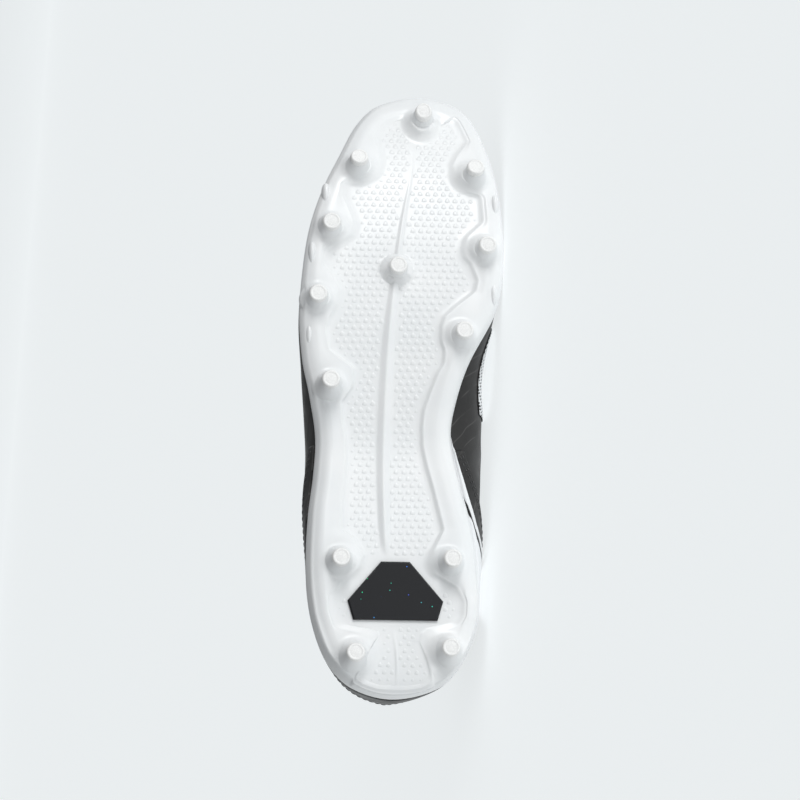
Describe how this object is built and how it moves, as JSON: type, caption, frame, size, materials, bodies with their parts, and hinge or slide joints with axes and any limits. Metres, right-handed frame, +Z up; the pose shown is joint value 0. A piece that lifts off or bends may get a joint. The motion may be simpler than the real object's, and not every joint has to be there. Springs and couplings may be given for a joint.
{
  "type": "american football cleat",
  "caption": "Low-cut american football cleat with a moulded studded plate, a hollow upper, a padded collar and bar lacing, lying on its medial side.",
  "frame": {"origin": "on the floor under the middle of the bounding box, the shoe lying on its medial side", "axes": "+X to the toe, +Y from the sole to the collar, +Z up from the floor, towards the lateral side"},
  "size_m": [0.2954, 0.1098, 0.0956],
  "materials": {
    "white_plastic": "glossy moulded plastic",
    "stud_tip_white": "satin, finely speckled",
    "black_gloss": "high gloss",
    "black_synthetic": "smooth synthetic skin",
    "black_cloth": "matte knit"
  },
  "bodies": {
    "root": {"outsole_plate": "white_plastic", "stud_tip_01": "stud_tip_white", "stud_tip_02": "stud_tip_white", "stud_tip_03": "stud_tip_white", "stud_tip_04": "stud_tip_white", "stud_tip_05": "stud_tip_white", "stud_tip_06": "stud_tip_white", "stud_tip_07": "stud_tip_white", "stud_tip_08": "stud_tip_white", "stud_tip_09": "stud_tip_white", "stud_tip_10": "stud_tip_white", "stud_tip_11": "stud_tip_white", "stud_tip_12": "stud_tip_white", "stud_tip_13": "stud_tip_white", "heel_inlay": "black_gloss", "upper": "black_synthetic", "eyestay": "black_synthetic", "heel_counter": "black_synthetic", "collar_lining": "black_cloth", "tongue": "black_cloth", "insole": "black_cloth", "lace": "black_cloth"}
  },
  "joints": []
}
